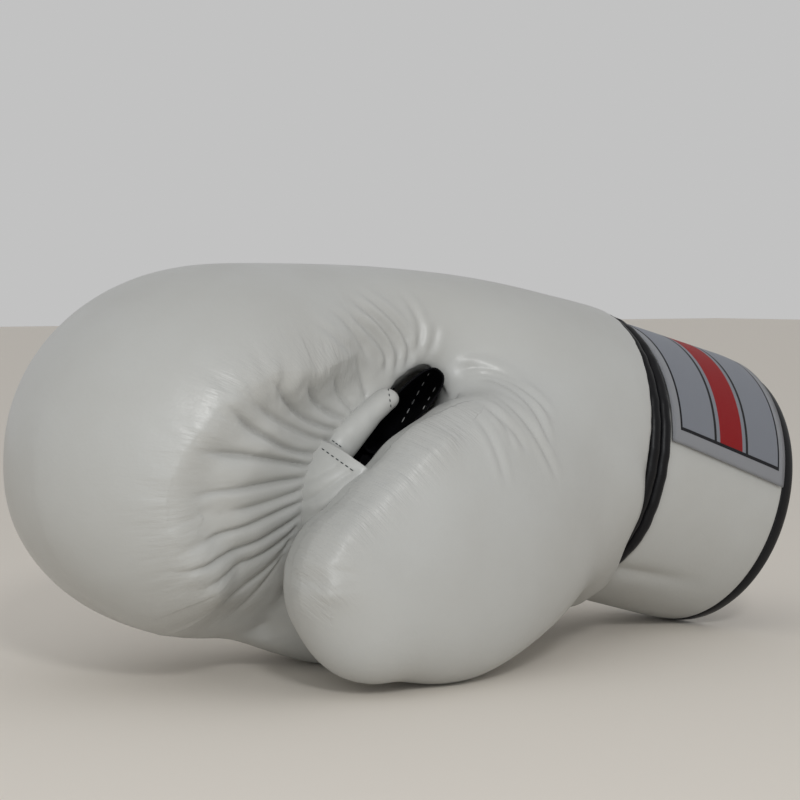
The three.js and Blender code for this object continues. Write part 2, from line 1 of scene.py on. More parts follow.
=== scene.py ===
"""Right-hand boxing glove, lying palm down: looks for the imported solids, in metres, +Z up."""

import math

import bpy
import numpy as np
from mathutils import Matrix, Vector
from mathutils.bvhtree import BVHTree


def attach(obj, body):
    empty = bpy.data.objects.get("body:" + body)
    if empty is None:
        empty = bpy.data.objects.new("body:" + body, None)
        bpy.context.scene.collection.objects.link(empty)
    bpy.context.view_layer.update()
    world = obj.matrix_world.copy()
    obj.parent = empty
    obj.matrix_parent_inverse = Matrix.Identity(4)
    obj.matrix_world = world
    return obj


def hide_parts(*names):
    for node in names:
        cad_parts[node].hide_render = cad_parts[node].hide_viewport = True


bl_info = {
    "name": "Boxing glove",
    "version": (1, 0, 0),
    "blender": (4, 5, 0),
    "location": "View3D > Sidebar > Glove",
    "description": "Models the leather, trim and stitching of a boxing glove round its solids",
    "category": "Object",
}

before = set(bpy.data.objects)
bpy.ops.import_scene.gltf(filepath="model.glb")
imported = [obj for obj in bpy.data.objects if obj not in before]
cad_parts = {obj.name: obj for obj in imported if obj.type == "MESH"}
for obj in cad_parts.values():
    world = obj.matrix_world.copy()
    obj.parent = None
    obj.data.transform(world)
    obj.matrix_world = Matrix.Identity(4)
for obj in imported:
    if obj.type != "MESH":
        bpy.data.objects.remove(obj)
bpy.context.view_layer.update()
MM = 0.001

# The cuff's frame: the middle of the wrist seam, the slope down to the rim, and its half sizes
SEAM_CENTRE = Vector((67.25, 10.04, 71.93)) * MM
CUFF_TILT = math.radians(15)
SEAM_SKEW = math.radians(4)
CUFF_LENGTH = 82.5
CUFF_HALF_WIDTH = 48.5
CUFF_HALF_HEIGHT = 51.0
CUFF_WALL = 13.0
CUFF_FLARE = 0.5
CUFF_AXES = Matrix.Translation(SEAM_CENTRE) @ Matrix.Rotation(CUFF_TILT, 4, "Y")
TRIM_GAP = 0.3

# Pleats round the palm slot, seen from the thumb side: x, z in mm at the slot, halfway and at the
# far end, then depth in mm
PLEATS = (
    ((-47, 97), (-48, 103), (-53, 111), 1.1),
    ((-53, 93), (-59, 99), (-66, 106), 1.7),
    ((-57, 90), (-70, 96), (-81, 104), 2.3),
    ((-61, 86.5), (-81, 93.5), (-98, 105), 2.6),
    ((-65, 83), (-87, 90), (-105, 98.5), 1.9),
    ((-70, 79), (-94, 85), (-116, 98), 2.7),
    ((-72.5, 75), (-100, 80), (-125, 83), 2.7),
    ((-75, 71), (-101, 70.5), (-126, 68.5), 2.4),
    ((-76, 67), (-92, 64.5), (-111, 63), 1.6),
    ((-75, 63), (-100, 58), (-125, 52.5), 2.2),
    ((-76, 58), (-103, 49.5), (-129, 46), 2.4),
    ((-77, 54), (-92, 46.5), (-117, 40.5), 1.9),
    ((-79, 50), (-88, 40), (-104, 32), 1.8),
    ((-81, 45), (-85, 36), (-91, 26), 1.2),
)

# Soft creases that run from the crotch up the back of the hand and down towards the wrist
CREASES = (
    ((-31, 105), (-27, 118), (-48, 134), 1.1),
    ((-36, 104), (-32, 117), (-55, 133), 0.9),
    ((-40, 104), (-38, 114), (-57, 127), 1.0),
    ((-44, 108), (-55, 121), (-68, 128), 0.7),
    ((-55, 112), (-68, 119), (-76, 123), 0.6),
    ((-26, 109), (-20, 121), (-27, 134), 0.7),
    ((-34, 107), (-35, 118), (-52, 131), 0.6),
    ((-18, 111), (-15, 116), (-13, 124), 0.5),
    ((-8, 105), (2, 106), (12, 99), 0.8),
    ((-6, 103), (5, 102), (14, 87), 1.0),
    ((-5, 101), (4, 99), (7, 78), 1.0),
    ((-7, 98), (-2, 90), (9, 66), 0.9),
    ((-18, 94), (-12, 90), (-5, 77), 0.8),
    ((-24, 93), (-21, 85), (-19, 66), 0.6),
    ((-15, 96), (-13, 90), (-12, 78), 0.5),
)

# The rounded crest where the padding turns down to the slot, and the thumb's inner ridge: x, z in mm
CREST = (
    (-44, 113), (-53, 112), (-68, 109), (-82, 107), (-95, 107), (-107, 103), (-116, 96.5), (-123, 89),
    (-127.5, 82.5), (-131, 74.5), (-132, 67), (-131, 59.5), (-127, 51), (-118, 42), (-106, 33), (-94, 27),
)
THUMB_RIDGE = (
    (-86, 37), (-86.5, 45), (-81, 53), (-73, 59), (-62.5, 66.5), (-49.5, 76), (-40, 82), (-28, 88),
)

# The thumb's edge towards the slot, where its padding swells most: x, z in mm
THUMB_EDGE = ((-88, 30), (-86, 42), (-78, 54), (-66, 64), (-54, 74), (-46, 80))

# The mitt's low edge, which leans over to the thumb: x, z in mm
LOW_LIP = ((-78, 62), (-80, 54), (-82, 44), (-84, 34), (-84, 22))

# Plug that shapes the slot's mouth: its middle, its half sizes and its axes, in mm
MOUTH_MIDDLE = (-30, -24, 92)
MOUTH_HALF = (20.5, 6.3, 25.0)
MOUTH_AXES = ((-0.55, 0.40, -0.73), (-0.59, 0.43, 0.68), (0.587, 0.807, -0.052))


def clear_selection():
    if bpy.context.object and bpy.context.object.mode != "OBJECT":
        bpy.ops.object.mode_set(mode="OBJECT")
    bpy.ops.object.select_all(action="DESELECT")


def make_active(obj):
    clear_selection()
    obj.select_set(True)
    bpy.context.view_layer.objects.active = obj


def apply_modifier(obj, kind, **values):
    make_active(obj)
    modifier = obj.modifiers.new(kind.title(), kind)
    for key, value in values.items():
        setattr(modifier, key, value)
    bpy.ops.object.modifier_apply(modifier=modifier.name)


def coordinates(mesh):
    flat = np.empty(len(mesh.vertices) * 3, np.float64)
    mesh.vertices.foreach_get("co", flat)
    return flat.reshape(-1, 3)


def place_vertices(mesh, points):
    mesh.vertices.foreach_set("co", np.ascontiguousarray(points, np.float64).ravel())
    mesh.update()


def vertex_normals(mesh):
    flat = np.empty(len(mesh.vertices) * 3, np.float32)
    mesh.vertex_normals.foreach_get("vector", flat)
    return flat.reshape(-1, 3).astype(np.float64)


def edge_pairs(mesh):
    flat = np.empty(len(mesh.edges) * 2, np.int32)
    mesh.edges.foreach_get("vertices", flat)
    return flat.reshape(-1, 2)


def relax(points, edges, weight, rounds):
    """Draws each point towards the middle of its neighbours, by its own weight, some rounds over."""
    count = len(points)
    a, b = edges[:, 0], edges[:, 1]
    degree = np.maximum(np.bincount(a, minlength=count) + np.bincount(b, minlength=count), 1)
    for _ in range(rounds):
        mean = np.empty_like(points)
        for axis in range(3):
            column = points[:, axis]
            total = np.bincount(a, column[b], count) + np.bincount(b, column[a], count)
            mean[:, axis] = total / degree
        points = points + weight[:, None] * (mean - points)
    return points


def smoothstep(low, high, value):
    t = np.clip((value - low) / (high - low), 0, 1)
    return t * t * (3 - 2 * t)


def bezier(points, count):
    a, b, c = (np.array(p, float) for p in points)
    t = np.linspace(0, 1, count)[:, None]
    middle = 2 * b - (a + c) / 2
    return a * (1 - t) ** 2 + 2 * middle * t * (1 - t) + c * t**2


def polyline_distance(flat, line):
    """Distance in mm from each (x, z) point to a line, share along it, and side as +1 or -1."""
    best = np.full(len(flat), 1e9)
    share = np.zeros(len(flat))
    side = np.ones(len(flat))
    lengths = np.r_[0, np.cumsum(np.hypot(*np.diff(line, axis=0).T))]
    for i in range(len(line) - 1):
        start, step = line[i], line[i + 1] - line[i]
        size = max(float(step @ step), 1e-9)
        t = np.clip(((flat - start) @ step) / size, 0, 1)
        offset = flat - start - t[:, None] * step
        distance = np.hypot(offset[:, 0], offset[:, 1])
        closer = distance < best
        best = np.where(closer, distance, best)
        at = (lengths[i] + t * math.sqrt(size)) / lengths[-1]
        share = np.where(closer, at, share)
        turn = np.sign(step[0] * offset[:, 1] - step[1] * offset[:, 0])
        side = np.where(closer, turn, side)
    return best, share, side


def value_noise(u, v, seed):
    """Smooth noise from -1 to 1 over two coordinates, the same on each run."""
    table = np.random.default_rng(seed).uniform(-1, 1, (64, 64))
    i, j = np.floor(u).astype(int), np.floor(v).astype(int)
    s, t = u - i, v - j
    s, t = s * s * (3 - 2 * s), t * t * (3 - 2 * t)
    near = table[i % 64, j % 64] * (1 - s) + table[(i + 1) % 64, j % 64] * s
    far = table[i % 64, (j + 1) % 64] * (1 - s) + table[(i + 1) % 64, (j + 1) % 64] * s
    return near * (1 - t) + far * t


def merged_copy(name, nodes):
    """One new mesh from copies of some CAD nodes, with their loose triangles joined."""
    clear_selection()
    copies = []
    for node in nodes:
        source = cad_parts[node]
        copy = bpy.data.objects.new(name, source.data.copy())
        bpy.context.scene.collection.objects.link(copy)
        copies.append(copy)
    for copy in copies:
        copy.select_set(True)
    bpy.context.view_layer.objects.active = copies[0]
    if len(copies) > 1:
        bpy.ops.object.join()
    obj = bpy.context.view_layer.objects.active
    obj.name = name
    obj.data.name = name
    obj.data.materials.clear()
    bpy.ops.object.mode_set(mode="EDIT")
    bpy.ops.mesh.select_all(action="SELECT")
    bpy.ops.mesh.remove_doubles(threshold=1e-6)
    bpy.ops.object.mode_set(mode="OBJECT")
    return obj


def keep_largest_shell(obj):
    edges = edge_pairs(obj.data)
    label = np.arange(len(obj.data.vertices))
    while True:
        low = np.minimum(label[edges[:, 0]], label[edges[:, 1]])
        new = label.copy()
        np.minimum.at(new, edges[:, 0], low)
        np.minimum.at(new, edges[:, 1], low)
        new = new[new]
        if np.array_equal(new, label):
            break
        label = new
    keep = np.bincount(label).argmax()
    make_active(obj)
    obj.data.polygons.foreach_set("select", np.zeros(len(obj.data.polygons), bool))
    obj.data.edges.foreach_set("select", np.zeros(len(obj.data.edges), bool))
    obj.data.vertices.foreach_set("select", label != keep)
    bpy.ops.object.mode_set(mode="EDIT")
    bpy.ops.mesh.select_mode(type="VERT")
    bpy.ops.mesh.delete(type="VERT")
    bpy.ops.object.mode_set(mode="OBJECT")


def voxel_remesh(obj, size):
    apply_modifier(obj, "REMESH", mode="VOXEL", voxel_size=size, adaptivity=0)


def finish_piece(obj, material, slot, *nodes):
    """Shades a piece, gives it its material, hangs it on the root body, and hides the CAD nodes it stands
    for.
    """
    obj.data.materials.clear()
    obj.data.materials.append(material)
    for face in obj.data.polygons:
        face.material_index = 0
    obj.data.shade_smooth()
    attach(obj, "root")
    if nodes:
        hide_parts(*nodes)
    return obj


# Shader building


def add_node(tree, kind, **values):
    node = tree.nodes.new(kind)
    for key, value in values.items():
        node.inputs[key].default_value = value
    return node


def math_node(tree, operation, a, b=None):
    node = tree.nodes.new("ShaderNodeMath")
    node.operation = operation
    for index, value in enumerate((a, b)):
        if value is None:
            continue
        if isinstance(value, (int, float)):
            node.inputs[index].default_value = value
        else:
            tree.links.new(value, node.inputs[index])
    return node.outputs[0]


def ramp(tree, factor, low, high, start=0.0, end=1.0):
    node = tree.nodes.new("ShaderNodeMapRange")
    tree.links.new(factor, node.inputs["Value"])
    node.inputs["From Min"].default_value = start
    node.inputs["From Max"].default_value = end
    node.inputs["To Min"].default_value = low
    node.inputs["To Max"].default_value = high
    return node.outputs["Result"]


def mix_colour(tree, factor, first, second):
    node = tree.nodes.new("ShaderNodeMix")
    node.data_type = "RGBA"
    sockets = [s for s in node.inputs if s.enabled]
    if isinstance(factor, (int, float)):
        sockets[0].default_value = factor
    else:
        tree.links.new(factor, sockets[0])
    for socket, value in zip(sockets[1:], (first, second)):
        if isinstance(value, tuple):
            socket.default_value = (*value, 1)
        else:
            tree.links.new(value, socket)
    return next(s for s in node.outputs if s.enabled)


def leather_group():
    """Fine pebbled grain with pores, as a height and a tone mask."""
    if "Leather grain" in bpy.data.node_groups:
        return bpy.data.node_groups["Leather grain"]
    group = bpy.data.node_groups.new("Leather grain", "ShaderNodeTree")
    face = group.interface
    for name, value in (("Cell Size", 900.0), ("Mottle Size", 18.0)):
        face.new_socket(name, in_out="INPUT", socket_type="NodeSocketFloat").default_value = value
    face.new_socket("Height", in_out="OUTPUT", socket_type="NodeSocketFloat")
    face.new_socket("Mottle", in_out="OUTPUT", socket_type="NodeSocketFloat")
    start = group.nodes.new("NodeGroupInput")
    end = group.nodes.new("NodeGroupOutput")
    place = group.nodes.new("ShaderNodeTexCoord")
    cells = group.nodes.new("ShaderNodeTexVoronoi")
    cells.feature = "SMOOTH_F1"
    fine = add_node(group, "ShaderNodeTexNoise", Detail=3.0, Roughness=0.6)
    mottle = add_node(group, "ShaderNodeTexNoise", Detail=4.0, Roughness=0.55)
    links = group.links
    for node in (cells, fine, mottle):
        links.new(place.outputs["Object"], node.inputs["Vector"])
    links.new(start.outputs["Cell Size"], cells.inputs["Scale"])
    links.new(math_node(group, "MULTIPLY", start.outputs["Cell Size"], 0.55), fine.inputs["Scale"])
    links.new(start.outputs["Mottle Size"], mottle.inputs["Scale"])
    pebble = math_node(group, "MULTIPLY", cells.outputs["Distance"], 0.6)
    links.new(math_node(group, "ADD", pebble, fine.outputs[0]), end.inputs["Height"])
    links.new(mottle.outputs[0], end.inputs["Mottle"])
    return group


def weave_group():
    """Plain weave as a height, from two crossed waves."""
    if "Plain weave" in bpy.data.node_groups:
        return bpy.data.node_groups["Plain weave"]
    group = bpy.data.node_groups.new("Plain weave", "ShaderNodeTree")
    face = group.interface
    face.new_socket("Threads", in_out="INPUT", socket_type="NodeSocketFloat").default_value = 1500.0
    face.new_socket("Height", in_out="OUTPUT", socket_type="NodeSocketFloat")
    start = group.nodes.new("NodeGroupInput")
    end = group.nodes.new("NodeGroupOutput")
    place = group.nodes.new("ShaderNodeTexCoord")
    heights = []
    for direction in ("X", "Z"):
        wave = group.nodes.new("ShaderNodeTexWave")
        wave.bands_direction = direction
        wave.inputs["Distortion"].default_value = 0.4
        group.links.new(place.outputs["Object"], wave.inputs["Vector"])
        group.links.new(start.outputs["Threads"], wave.inputs["Scale"])
        heights.append(wave.outputs["Fac"])
    both = math_node(group, "MAXIMUM", heights[0], heights[1])
    group.links.new(both, end.inputs["Height"])
    return group


def new_material(name, colour, roughness):
    material = bpy.data.materials.new(name)
    material.use_nodes = True
    shader = material.node_tree.nodes["Principled BSDF"]
    shader.inputs["Base Color"].default_value = (*colour, 1)
    shader.inputs["Roughness"].default_value = roughness
    material.diffuse_color = (*colour, 1)
    return material, material.node_tree, shader


def add_bump(tree, shader, height, distance):
    bump = tree.nodes.new("ShaderNodeBump")
    bump.inputs["Distance"].default_value = distance
    tree.links.new(height, bump.inputs["Height"])
    tree.links.new(bump.outputs["Normal"], shader.inputs["Normal"])


def leather_material(name, colour, shade, roughness, creased=False, cell=900.0):
    """Smooth coated leather: mottled tone, fine grain, gathers, and painted shade that darkens the creases
    where the crease mask says.
    """
    material, tree, shader = new_material(name, colour, roughness)
    shader.inputs["Coat Weight"].default_value = 0.12
    shader.inputs["Coat Roughness"].default_value = 0.28
    grain = tree.nodes.new("ShaderNodeGroup")
    grain.node_tree = leather_group()
    grain.inputs["Cell Size"].default_value = cell
    mottle = ramp(tree, grain.outputs["Mottle"], 0.0, 1.0, 0.35, 0.7)
    tone = mix_colour(tree, mottle, colour, shade)
    gloss = ramp(tree, grain.outputs["Mottle"], roughness - 0.05, roughness + 0.08, 0.3, 0.7)
    tree.links.new(gloss, shader.inputs["Roughness"])
    height = math_node(tree, "MULTIPLY", grain.outputs["Height"], 0.05)
    if creased:
        fan = tree.nodes.new("ShaderNodeUVMap")
        fan.uv_map = "fan"
        stretch = tree.nodes.new("ShaderNodeMapping")
        stretch.inputs["Scale"].default_value = (1300, 130, 1)
        gathers = add_node(tree, "ShaderNodeTexNoise", Scale=1.0, Detail=3.0, Roughness=0.55)
        tree.links.new(fan.outputs["UV"], stretch.inputs["Vector"])
        tree.links.new(stretch.outputs["Vector"], gathers.inputs["Vector"])
        mask = tree.nodes.new("ShaderNodeAttribute")
        mask.attribute_name = "gather"
        depth = math_node(tree, "MULTIPLY", mask.outputs["Fac"], 0.5)
        folds = math_node(tree, "MULTIPLY", gathers.outputs[0], depth)
        height = math_node(tree, "ADD", height, folds)
        # Painted shade: the colour darkens along the pleat creases towards a dark version of the mottle
        # colour, standing in for the shadow inside each fold.
        crease_shade_mask = tree.nodes.new("ShaderNodeAttribute")
        crease_shade_mask.attribute_name = "crease"
        painted_crease_shade = math_node(tree, "MULTIPLY", crease_shade_mask.outputs["Fac"], 0.6)
        tone = mix_colour(tree, painted_crease_shade, tone, tuple(0.4 * c for c in shade))
    tree.links.new(tone, shader.inputs["Base Color"])
    add_bump(tree, shader, height, 0.0009)
    return material


MATERIALS = {}


def material(name):
    """The glove's finishes, each made once."""
    if not MATERIALS:
        settings = bpy.context.scene.glove_skin
        white, cream = tuple(settings.colour), tuple(settings.shade)
        MATERIALS["skin"] = leather_material("White leather skin", white, cream, 0.36, creased=True)
        MATERIALS["white"] = leather_material("White leather", white, cream, 0.42)
        MATERIALS["black"] = leather_material("Black coated edging", (0.004, 0.004, 0.005),
                                              (0.01, 0.01, 0.012), 0.38, cell=1300.0)
        gloss = MATERIALS["black"].node_tree.nodes["Principled BSDF"].inputs
        gloss["Specular IOR Level"].default_value = 0.2
        gloss["Coat Weight"].default_value = 0.0
        cloth, tree, shader = new_material("Black lining cloth", (0.005, 0.005, 0.007), 1.0)
        shader.inputs["Specular IOR Level"].default_value = 0.15
        weave = tree.nodes.new("ShaderNodeGroup")
        weave.node_tree = weave_group()
        weave.inputs["Threads"].default_value = 900.0
        add_bump(tree, shader, weave.outputs["Height"], 0.0004)
        MATERIALS["cloth"] = cloth
        MATERIALS["lining"] = lining_material()
        MATERIALS["label"] = label_material()
        MATERIALS["white thread"] = new_material("White thread", (0.7, 0.7, 0.68), 0.7)[0]
        MATERIALS["dark thread"] = new_material("Dark thread", (0.03, 0.04, 0.04), 0.7)[0]
    return MATERIALS[name]


def lining_material():
    lining, tree, shader = new_material("Dark wrist lining", (0.03, 0.03, 0.035), 0.85)
    shader.inputs["Sheen Weight"].default_value = 0.2
    weave = tree.nodes.new("ShaderNodeGroup")
    weave.node_tree = weave_group()
    weave.inputs["Threads"].default_value = 500.0
    tone = mix_colour(tree, weave.outputs["Height"], (0.015, 0.015, 0.018), (0.05, 0.05, 0.055))
    tree.links.new(tone, shader.inputs["Base Color"])
    add_bump(tree, shader, weave.outputs["Height"], 0.0005)
    return lining


def label_material():
    """Satin weave with a plain printed border and one generic band, on the label's own UV map."""
    label, tree, shader = new_material("Grey satin label", (0.33, 0.35, 0.4), 0.5)
    shader.inputs["Specular IOR Level"].default_value = 0.2
    links = tree.links
    fan = tree.nodes.new("ShaderNodeUVMap")
    fan.uv_map = "sheet"
    parts = tree.nodes.new("ShaderNodeSeparateXYZ")
    links.new(fan.outputs["UV"], parts.inputs["Vector"])
    across, along = parts.outputs["X"], parts.outputs["Y"]

    def stripe(value, centre, half):
        offset = math_node(tree, "ABSOLUTE", math_node(tree, "SUBTRACT", value, centre))
        return math_node(tree, "LESS_THAN", offset, half)

    weave = tree.nodes.new("ShaderNodeGroup")
    weave.node_tree = weave_group()
    weave.inputs["Threads"].default_value = 1400.0
    tone = mix_colour(tree, weave.outputs["Height"], (0.27, 0.29, 0.34), (0.36, 0.38, 0.43))
    band = stripe(across, 0.5, 0.1)
    tone = mix_colour(tree, band, tone, (0.4, 0.012, 0.016))
    for centre in (0.36, 0.64):
        tone = mix_colour(tree, stripe(across, centre, 0.01), tone, (0.02, 0.02, 0.022))
    inset = math_node(tree, "MULTIPLY", stripe(across, 0.5, 0.44), stripe(along, 0.5, 0.462))
    inner = math_node(tree, "MULTIPLY", stripe(across, 0.5, 0.425), stripe(along, 0.5, 0.452))
    border = math_node(tree, "SUBTRACT", inset, inner)
    margin = math_node(tree, "SUBTRACT", 1.0, inset)
    tone = mix_colour(tree, margin, tone, (0.42, 0.43, 0.46))
    tone = mix_colour(tree, border, tone, (0.015, 0.015, 0.02))
    links.new(tone, shader.inputs["Base Color"])
    add_bump(tree, shader, weave.outputs["Height"], 0.0002)
    return label


# Padded skin


def filler(centre, radii):
    """Padding that fills the crease between the thumb's base and the hand."""
    clear_selection()
    bpy.ops.mesh.primitive_uv_sphere_add(segments=32, ring_count=16, radius=1, location=(0, 0, 0))
    ball = bpy.context.object
    bpy.ops.object.mode_set(mode="EDIT")
    bpy.ops.transform.resize(value=[r * MM for r in radii])
    bpy.ops.object.mode_set(mode="OBJECT")
    points = coordinates(ball.data) + np.array(centre) * MM
    place_vertices(ball.data, points)
    return ball


def mouth_plug(scale=1.0):
    """Rounded plug in the slot's mouth, laid along the way the slot opens."""
    clear_selection()
    bpy.ops.mesh.primitive_uv_sphere_add(segments=48, ring_count=24, radius=1)
    plug = bpy.context.object
    points = coordinates(plug.data)
    boxy = np.sign(points) * np.abs(points) ** 0.75
    local = boxy * np.array(MOUTH_HALF) * (scale, scale, 1)
    place_vertices(plug.data, (local @ np.array(MOUTH_AXES) + MOUTH_MIDDLE) * MM)
    fix_outward(plug)
    return plug


def carve(obj, plug):
    apply_modifier(obj, "BOOLEAN", operation="DIFFERENCE", solver="EXACT", object=plug)


def paint_mask(mesh, name, values):
    layer = mesh.attributes.new(name, "FLOAT", "POINT")
    layer.data.foreach_set("value", values.astype(np.float32))


def paint_uv(mesh, name, uv):
    layer = mesh.uv_layers.new(name=name)
    loops = np.empty(len(mesh.loops), np.int32)
    mesh.loops.foreach_get("vertex_index", loops)
    layer.data.foreach_set("uv", uv[loops].astype(np.float32).ravel())


def refine_front(obj):
    """Halves the mesh size where the leather is gathered."""
    mesh = obj.data
    x, y, z = (coordinates(mesh) / MM).T
    toward = vertex_normals(mesh)[:, 1]
    chosen = (toward < 0.3) & (y < 2) & (x > -142) & (x < 24) & (z > 12) & (z < 137)
    edges = edge_pairs(mesh)
    corners = np.empty(len(mesh.polygons) * 4, np.int32)
    mesh.polygons.foreach_get("vertices", corners)
    make_active(obj)
    mesh.vertices.foreach_set("select", chosen)
    mesh.edges.foreach_set("select", chosen[edges].all(1))
    mesh.polygons.foreach_set("select", chosen[corners.reshape(-1, 4)].all(1))
    bpy.ops.object.mode_set(mode="EDIT")
    bpy.ops.mesh.select_mode(type="FACE")
    bpy.ops.mesh.subdivide(number_cuts=1)
    bpy.ops.object.mode_set(mode="OBJECT")
    fine = coordinates(mesh)
    x, y, z = (fine / MM).T
    within = smoothstep(3, -6, y) * smoothstep(-141, -132, x) * smoothstep(23, 14, x)
    within *= smoothstep(13, 22, z) * smoothstep(136, 127, z)
    place_vertices(mesh, relax(fine, edge_pairs(mesh), 0.5 * within, 4))


def pleat_height(flat):
    """Pillows between neighbouring pleat creases, in mm, and a mask of the creases themselves, which also
    sets where the skin's colour is darkened as painted shade.
    """
    rows = []
    for start, middle, end, depth in PLEATS:
        reach = (1.1 * end[0] - 0.1 * middle[0], 1.1 * end[1] - 0.1 * middle[1])
        distance, share, _ = polyline_distance(flat, bezier((start, middle, reach), 18))
        fade = depth / 2.4 * smoothstep(-0.08, 0.1, share) * (1 - smoothstep(0.7, 1.0, share))
        rows.append((distance, fade))
    distances = np.stack([r[0] for r in rows])
    fades = np.stack([r[1] for r in rows])
    order = np.argsort(distances, axis=0)
    first, second = order[0], order[1]
    at = np.arange(flat.shape[0])
    d1, d2 = np.hypot(distances[first, at], 0.5), np.hypot(distances[second, at], 0.5)
    f1, f2 = fades[first, at], fades[second, at]
    total = np.maximum(d1 + d2, 1e-6)
    fade = (f1 * d2 + f2 * d1) / total * (1 - smoothstep(9, 17, d1))
    tilt = np.clip((d2 - d1) / total, 0, 1)
    pillow = np.sqrt(np.clip(1 - tilt**2.4, 0, 1)) - 0.62
    groove = np.exp(-d1 / 0.6) * f1
    return pillow * fade - 0.3 * groove, groove


def cover_piping(points):
    """Draws the mitt's rim out over the piping on the underside of the wrist."""
    matrix = np.array(CUFF_AXES.inverted())
    local = (points @ matrix[:3, :3].T + matrix[:3, 3]) / MM
    x, y, z = local.T
    x = x + math.tan(SEAM_SKEW) * z
    angle = np.degrees(np.arctan2(z / CUFF_HALF_HEIGHT, y / CUFF_HALF_WIDTH)) % 360
    out = np.hypot(z / CUFF_HALF_HEIGHT, y / CUFF_HALF_WIDTH)
    under = smoothstep(203, 238, angle) * smoothstep(340, 305, angle) * smoothstep(0.93, 1.0, out)
    local[:, 0] += 11 * under * smoothstep(-24, -1, x)
    away = 1.6 * under * smoothstep(-30, -4, x)
    local[:, 1] += away * np.cos(np.radians(angle))
    local[:, 2] += away * np.sin(np.radians(angle))
    matrix = np.array(CUFF_AXES)
    return (local * MM) @ matrix[:3, :3].T + matrix[:3, 3]


def widen_mouth(points, normal):
    """Moves the mouth's inner walls back behind the black bowl."""
    axes = np.array(MOUTH_AXES)
    local = (points / MM - MOUTH_MIDDLE) @ axes.T
    across, wide, deep = np.abs(local.T)
    walls = smoothstep(25, 22, across) * smoothstep(11, 8.5, wide) * smoothstep(29, 26, deep)
    walls *= smoothstep(-0.75, -0.4, normal @ axes[2]) * smoothstep(-6, 1, local[:, 2])
    local[:, 0] *= 0.14 * walls
    local[:, 1] *= 0.22 * walls
    local[:, 2] = 0
    return points + local @ axes * MM


